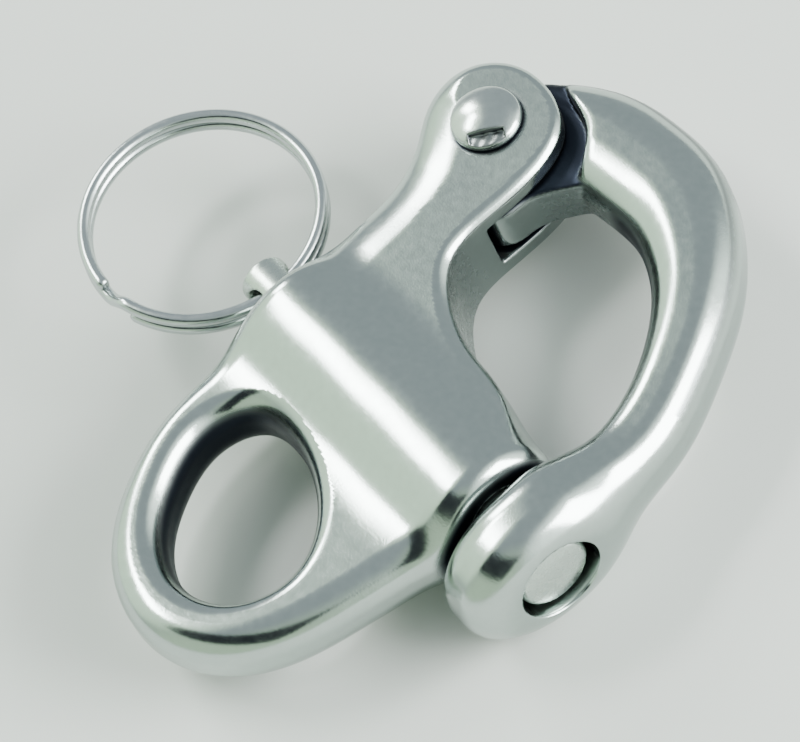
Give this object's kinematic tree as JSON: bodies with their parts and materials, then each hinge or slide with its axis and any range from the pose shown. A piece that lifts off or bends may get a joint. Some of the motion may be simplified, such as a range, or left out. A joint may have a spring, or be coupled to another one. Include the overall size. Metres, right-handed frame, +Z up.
{
  "type": "snap shackle",
  "caption": "Fixed-eye snap shackle: cast body with a barrel and fork, swinging bow gate held by a sprung plunger that a split ring pulls.",
  "frame": {"origin": "middle of the whole shackle's box at its lowest level, where it lies on a flat surface on its barrel and boss", "axes": "+Z up through the thickness, +X along the plunger from the pull ring to the gate's boss, +Y along the shackle from the fixed eye to the crown of the gate"},
  "size_m": [0.069, 0.07, 0.0148],
  "materials": {
    "cast_steel": "polished casting with a fine grain and small pits",
    "rivet_steel": "polished, peened head",
    "turned_steel": "fine turned finish",
    "spring_steel": "drawn wire",
    "wire_steel": "bright drawn wire"
  },
  "bodies": {
    "frame": {"body": "cast_steel", "hinge_rivet": "rivet_steel", "plunger_spring": "spring_steel"},
    "gate": {"gate": "cast_steel"},
    "plunger": {"plunger": "turned_steel"},
    "ring": {"split_ring": "wire_steel"}
  },
  "joints": [
    {"name": "gate_swing", "type": "hinge", "parent": "frame", "child": "gate", "pos_m": [-0.00688, 0.02159, 0.0074], "axis": [0, 0, 1], "range_deg": [0, 115]},
    {"name": "plunger_pull", "type": "slide", "parent": "frame", "child": "plunger", "axis": [-1, 0, 0], "range_m": [0, 0.009], "stiffness_N_per_m": 900, "springref_m": -0.006, "deforming": ["plunger_spring"]},
    {"name": "ring_swing", "type": "hinge", "parent": "plunger", "child": "ring", "pos_m": [-0.01068, -0.00331, 0.0074], "axis": [0, 0.9962, -0.0872], "range_deg": [-90, 90]}
  ]
}
